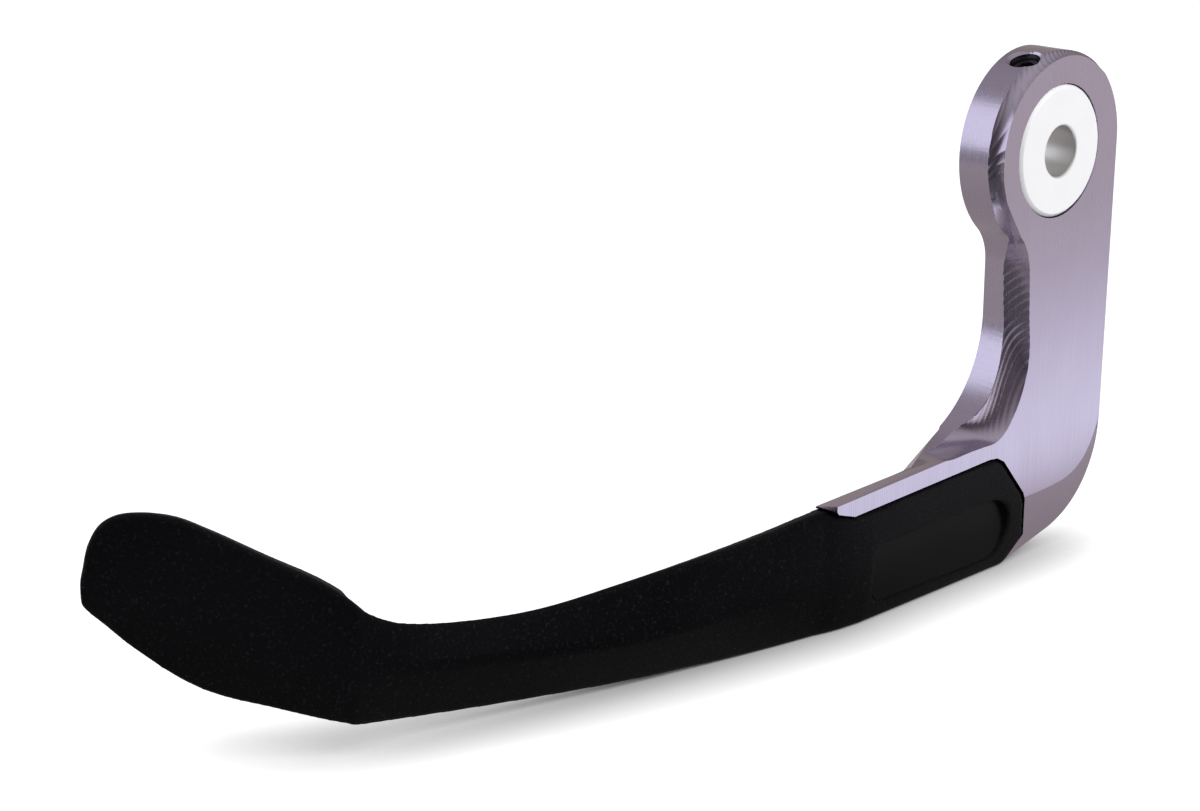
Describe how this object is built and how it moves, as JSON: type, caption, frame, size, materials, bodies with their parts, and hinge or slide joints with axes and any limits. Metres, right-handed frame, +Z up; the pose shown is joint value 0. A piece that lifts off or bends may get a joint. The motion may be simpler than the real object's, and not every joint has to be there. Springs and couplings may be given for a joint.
{
  "type": "clutch lever guard",
  "caption": "Motorbike clutch lever guard: machined arm with a clamped bush and a bolted moulded blade that sweeps back to a paddle",
  "frame": {"origin": "on the axis of the bush's bore, in the plane of the arm's front face", "axes": "X along the blade with the blade toward -X, Y along the bore with the front face toward -Y, Z up with the guard standing on the blade's lower edge"},
  "size_m": [0.1819, 0.0487, 0.0872],
  "materials": {
    "arm_metal": "purple grey anodised, milled",
    "bush_metal": "clear anodised, turned",
    "screw_steel": "black oxide",
    "blade_plastic": "fine grained moulded plastic",
    "badge_plastic": "smooth domed inlay, left blank",
    "insert_brass": "plain brass"
  },
  "bodies": {
    "root": {"arm": "arm_metal", "bush": "bush_metal", "grub_screw": "screw_steel", "guard_blade": "blade_plastic", "badge": "badge_plastic", "blade_screw_1": "screw_steel", "blade_screw_2": "screw_steel", "insert_1": "insert_brass", "insert_2": "insert_brass"}
  },
  "joints": []
}
